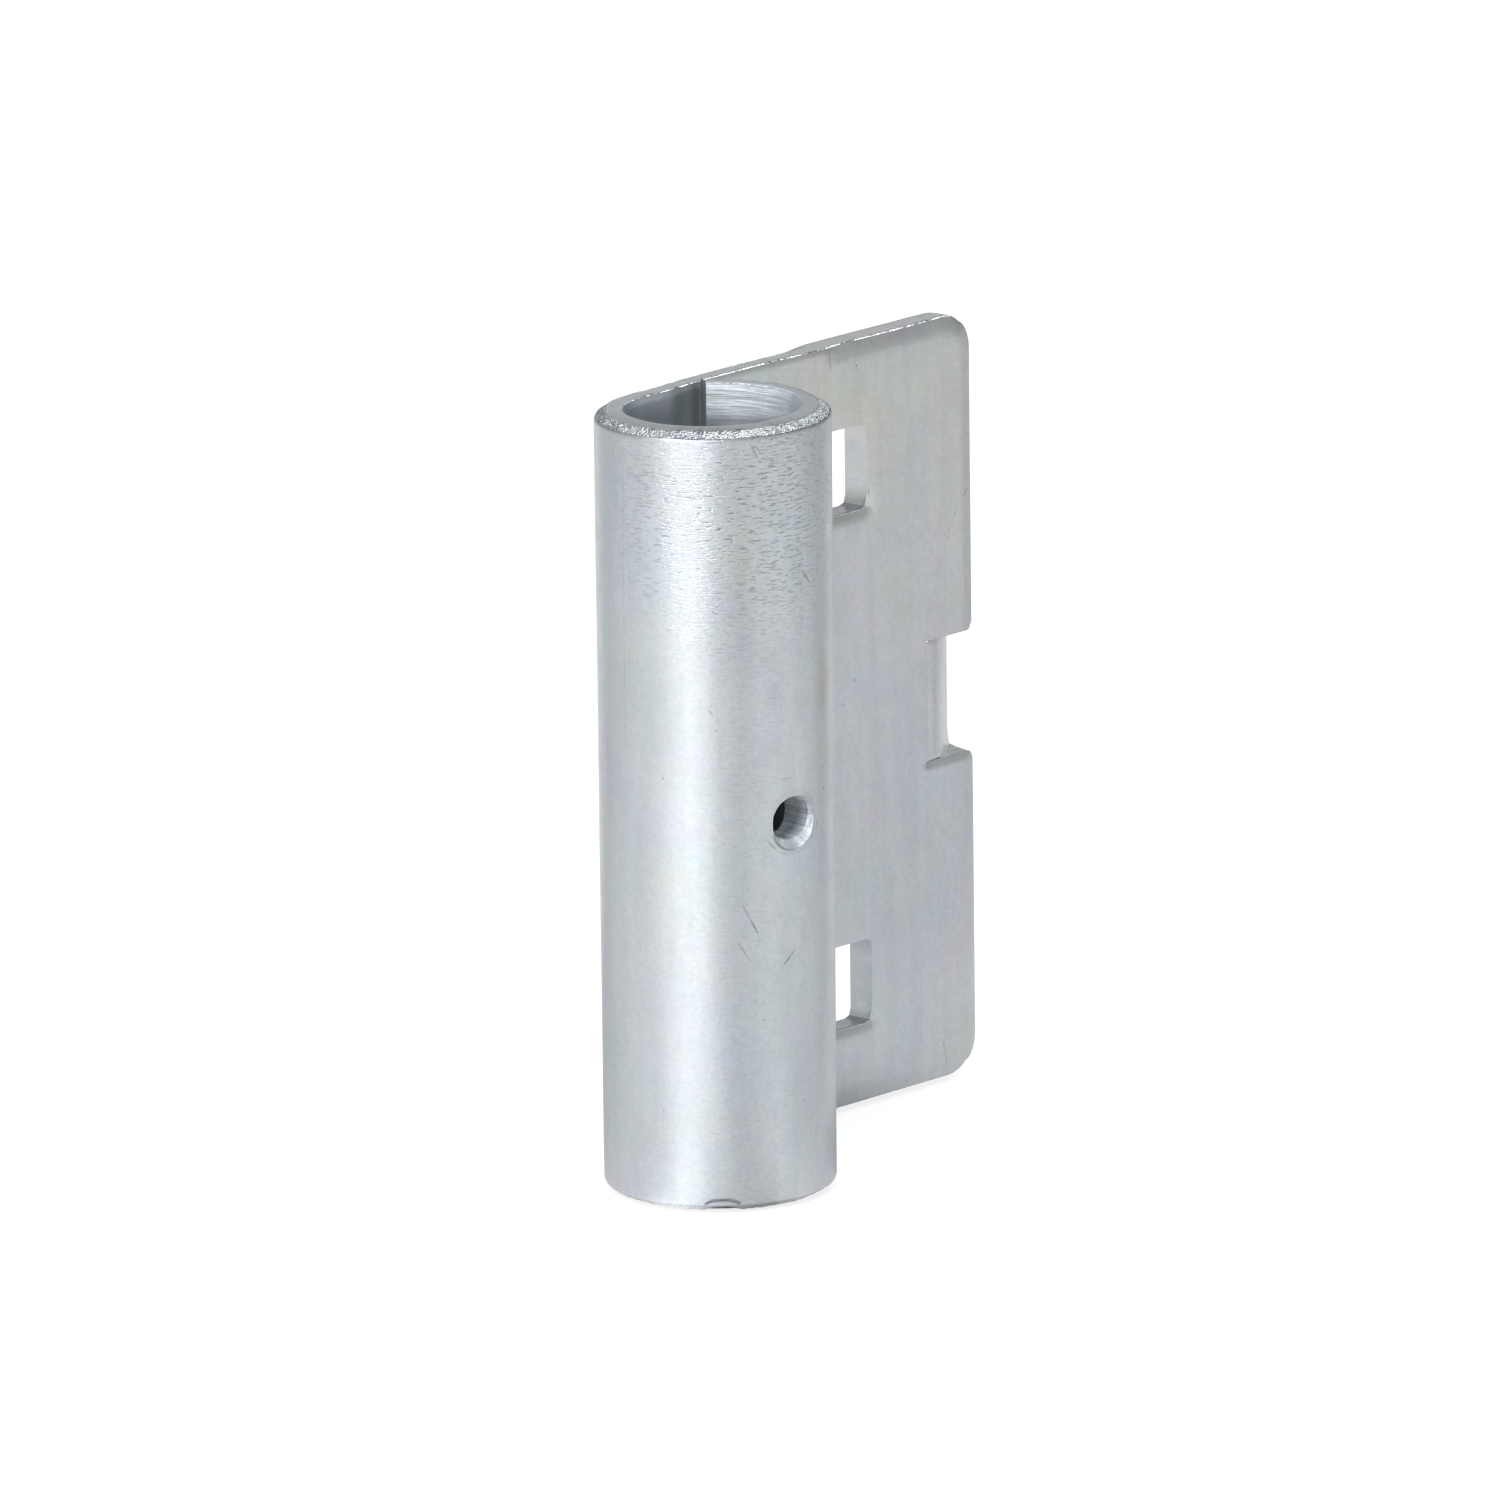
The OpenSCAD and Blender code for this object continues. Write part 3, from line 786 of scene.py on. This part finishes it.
# Relief in mm: grain of the plating, rolling lines, pits, beads, broken and scuffed metal.
# The scratches stay out of it: a bump reads its height three times at every point
relief = sums(plate, "MULTIPLY", noisy(place, 2.6, 3).outputs["Fac"], 0.010)
crumbs = sums(plate, "ADD", facets.outputs["Distance"], noisy(place, 6.5, 2).outputs["Fac"])
for mask, height_mm in (
    (rolling, -0.03), (pits, -0.02), (sums(plate, "MULTIPLY", crest_edge_and_glint, beads), 0.12),
    (sums(plate, "MULTIPLY", broken_cut, crumbs), 0.15),
    (sums(plate, "MULTIPLY", scuffed, smears), 0.10),
):
    relief = sums(plate, "ADD", relief, sums(plate, "MULTIPLY", mask, height_mm))
bump = put(plate, "ShaderNodeBump", {"Strength": 1.0, "Distance": 0.001, "Height": relief})
plate.links.new(bump.outputs[0], shader.inputs["Normal"])
steel.materials.append(zinc)

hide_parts("bracket")
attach(bracket_steel, "root")

# The studio.
# A wide pale floor under a pale room, darker over the horizon than the floor is. Its light
# changes slowly with direction, so that the bare metal has something to mirror.
HALF_WAY_UP = Vector((0, 0, HEIGHT / 2000))
CAMERA_TURN = math.radians(222.0)
# Light that the room sends from each side, by degrees from the camera's side
SIDE_LIGHT = (
    (-180, 0.38), (-150, 0.36), (-125, 0.56), (-107, 0.80), (-92, 0.87), (-78, 0.95), (-66, 1.02),
    (-55, 1.09), (-43, 1.43), (-32, 2.20), (-22, 2.20), (-12, 1.60), (-3, 1.10), (7, 0.80), (17, 0.65),
    (27, 0.65), (38, 0.96), (47, 1.09), (69, 0.94), (82, 0.85), (95, 0.855), (110, 0.48), (130, 0.27),
    (150, 0.28), (180, 0.38),
)
# And the share of it that comes from each height, by degrees over the horizon
LEVEL_LIGHT = (
    (-90, 0.80), (-37, 0.87), (-9, 0.98), (-5, 0.8), (-1, 0.56), (4, 0.48), (25, 0.46), (50, 0.5), (90, 0.7),
)


def read_off(tree, value, rows):
    """Reads a value in degrees off the rows of (degrees, light)."""
    first, last = math.radians(rows[0][0]), math.radians(rows[-1][0])
    share = put(tree, "ShaderNodeMapRange", {"Value": value, "From Min": first, "From Max": last}).outputs[0]
    ramp = put(tree, "ShaderNodeValToRGB", {0: share})
    stops = ramp.color_ramp.elements
    for k, (degrees, light) in enumerate(rows):
        spot = (math.radians(degrees) - first) / (last - first)
        stop = {0: stops[0], len(rows) - 1: stops[-1]}.get(k) or stops.new(spot)
        stop.position = spot
        # A ramp's colours stay under 1, so each light is quartered here and made whole again
        stop.color = (light / 4, light / 4, light / 4, 1)
    return scaled(tree, ramp.outputs[0], 4.0)


room = bpy.data.node_groups.new("room_light", "ShaderNodeTree")
room.interface.new_socket(name="Direction", in_out="INPUT", socket_type="NodeSocketVector")
room.interface.new_socket(name="Light", in_out="OUTPUT", socket_type="NodeSocketColor")
toward = put(room, "NodeGroupInput").outputs["Direction"]
turned_back = {"Vector": toward, "Angle": -CAMERA_TURN}
from_camera = put(room, "ShaderNodeVectorRotate", turned_back, rotation_type="Z_AXIS").outputs[0]
parts = put(room, "ShaderNodeSeparateXYZ", {0: from_camera}).outputs
distance = measured(room, "LENGTH", toward)
side = sums(room, "ARCTAN2", parts["Y"], parts["X"])
rise = sums(room, "ARCSINE", sums(room, "DIVIDE", parts["Z"], distance), 0)
sent = vectors(room, "MULTIPLY", read_off(room, side, SIDE_LIGHT), read_off(room, rise, LEVEL_LIGHT))
put(room, "NodeGroupOutput", {"Light": sent})


def either(tree, path, *kinds):
    """1 for a ray of any of the kinds that are named."""
    found = path.outputs[kinds[0]]
    for kind in kinds[1:]:
        found = sums(tree, "MAXIMUM", found, path.outputs[kind])
    return found


# The camera sees white, metal and glass see the room, and everything else an even light
world = bpy.data.worlds.new("pale_room")
bpy.context.scene.world = world
world.use_nodes = True
air = world.node_tree
air.nodes.clear()
around = put(air, "ShaderNodeGroup", node_tree=room)
air.links.new(put(air, "ShaderNodeTexCoord").outputs["Generated"], around.inputs["Direction"])
path = put(air, "ShaderNodeLightPath")
looking = either(air, path, "Is Camera Ray", "Is Glossy Ray", "Is Transmission Ray")
seen = put(air, "ShaderNodeMix", {"Factor": looking}, data_type="RGBA")
seen.inputs["A"].default_value = (0.85, 0.85, 0.85, 1)
air.links.new(around.outputs["Light"], seen.inputs["B"])
shown = put(air, "ShaderNodeMix", {"Factor": path.outputs["Is Camera Ray"]}, data_type="RGBA")
air.links.new(seen.outputs["Result"], shown.inputs["A"])
shown.inputs["B"].default_value = (1, 1, 1, 1)
sky = put(air, "ShaderNodeBackground")
air.links.new(shown.outputs["Result"], sky.inputs["Color"])
put(air, "ShaderNodeOutputWorld", {"Surface": sky.outputs[0]})

FLOOR_HALF = 12.0
ground = bmesh.new()
bmesh.ops.create_grid(ground, x_segments=1, y_segments=1, size=FLOOR_HALF)
floor_mesh = bpy.data.meshes.new("floor")
ground.to_mesh(floor_mesh)
ground.free()
floor = bpy.data.objects.new("floor", floor_mesh)
bpy.context.scene.collection.objects.link(floor)
pale = bpy.data.materials.new("pale_floor")
pale.use_nodes = True
base = pale.node_tree
base.nodes.clear()
matt = put(base, "ShaderNodeBsdfDiffuse", {"Color": (0.9, 0.9, 0.9, 1)})
spot = put(base, "ShaderNodeTexCoord").outputs["Object"]
below = vectors(base, "SUBTRACT", spot, HALF_WAY_UP)
beside = put(base, "ShaderNodeGroup", node_tree=room)
base.links.new(below, beside.inputs["Direction"])
# No light of the room reaches the floor inside the tube, the flange throws some on the
# floor before it, and the corner between the two is a little shaded
off_axis = measured(base, "LENGTH", spot)
on_floor = put(base, "ShaderNodeSeparateXYZ", {0: spot}).outputs
open_floor = ramped(base, off_axis, 0.0088, 0.0108, 0.0, 1.0)
before_flange = ramped(base, on_floor["Y"], -0.034, -0.010, 0.0, 1.6)
thrown = sums(base, "MULTIPLY", before_flange, ramped(base, on_floor["X"], 0.022, 0.045, 0.0, 1.0))
floor_share = sums(base, "MULTIPLY", open_floor, sums(base, "ADD", thrown, 1.0))
beside_tube = ramped(base, on_floor["X"], 0.002, 0.024, 0.0, 0.34)
shaded = sums(base, "MULTIPLY", beside_tube, ramped(base, on_floor["Y"], -0.018, -0.026, 0.0, 1.0))
shaded = sums(base, "MULTIPLY", shaded, ramped(base, off_axis, 0.04, 0.1, 1.0, 0.0))
floor_share = sums(base, "MULTIPLY", floor_share, sums(base, "SUBTRACT", 1.0, shaded))
mirrored = scaled(base, beside.outputs["Light"], floor_share)
path = put(base, "ShaderNodeLightPath")
seen = put(base, "ShaderNodeMix", {"Factor": path.outputs["Is Camera Ray"]}, data_type="RGBA")
base.links.new(mirrored, seen.inputs["A"])
seen.inputs["B"].default_value = (1, 1, 1, 1)
glow = put(base, "ShaderNodeEmission")
base.links.new(seen.outputs["Result"], glow.inputs["Color"])
looking = either(base, path, "Is Camera Ray", "Is Glossy Ray", "Is Transmission Ray")
part = sums(base, "MULTIPLY", looking, 0.8)
blend = put(base, "ShaderNodeMixShader", {0: part, 1: matt.outputs[0], 2: glow.outputs[0]})
put(base, "ShaderNodeOutputMaterial", {"Surface": blend.outputs[0]})
floor_mesh.materials.append(pale)

# The lamps.
# One large soft box to the left of the camera, a weaker one above, a small one far to
# the right that picks out the crisp upper edges, and a low strip behind for the top faces.
for name, turn_deg, lift_deg, distance, width, tall, watts in (
    ("key_box", 192, 38, 1.4, 0.5, 0.9, 20.0),
    ("top_box", 240, 80, 1.6, 1.2, 1.2, 14.5),
    ("edge_box", -3, 42, 1.4, 0.6, 0.6, 8.0),
    ("back_strip", 42, 19, 1.6, 1.4, 0.22, 1.05),
):
    lamp = bpy.data.lights.new(name, "AREA")
    lamp.shape = "RECTANGLE"
    lamp.size = width
    lamp.size_y = tall
    lamp.energy = watts
    turn_rad, lift_rad = math.radians(turn_deg), math.radians(lift_deg)
    level = math.cos(lift_rad)
    out = Vector((math.cos(turn_rad) * level, math.sin(turn_rad) * level, math.sin(lift_rad)))
    holder = bpy.data.objects.new(name, lamp)
    holder.location = HALF_WAY_UP + out * distance
    holder.rotation_euler = out.to_track_quat("Z", "Y").to_euler()
    bpy.context.scene.collection.objects.link(holder)

# The camera.
# It looks down a little on the tube's front, from the side away from the flange.
TURN = math.radians(-47.926)
LIFT = math.radians(13.977)
TILT = math.radians(-0.708)
AWAY = 2.0244
back_way = Vector((math.sin(TURN) * math.cos(LIFT), -math.cos(TURN) * math.cos(LIFT), math.sin(LIFT)))
level_right = (-back_way).cross(Vector((0, 0, 1))).normalized()
level_up = level_right.cross(-back_way)
right_way = math.cos(TILT) * level_right + math.sin(TILT) * level_up
up_way = -math.sin(TILT) * level_right + math.cos(TILT) * level_up
lens = bpy.data.cameras.new("camera")
lens.lens = 489.1
lens.sensor_width = 36
lens.clip_end = 30
camera = bpy.data.objects.new("camera", lens)
bpy.context.scene.collection.objects.link(camera)
eye = HALF_WAY_UP + AWAY * back_way
aim = HALF_WAY_UP + 0.003243 * right_way + 0.004498 * up_way
axis = (eye - aim).normalized()
side_way = (right_way - axis * right_way.dot(axis)).normalized()
top_way = axis.cross(side_way)
camera.matrix_world = Matrix.Translation(eye) @ Matrix(
    [[r, u, b, 0] for r, u, b in zip(side_way, top_way, axis)] + [[0, 0, 0, 1]]
)
bpy.context.scene.camera = camera
bpy.context.scene.view_settings.view_transform = "Standard"
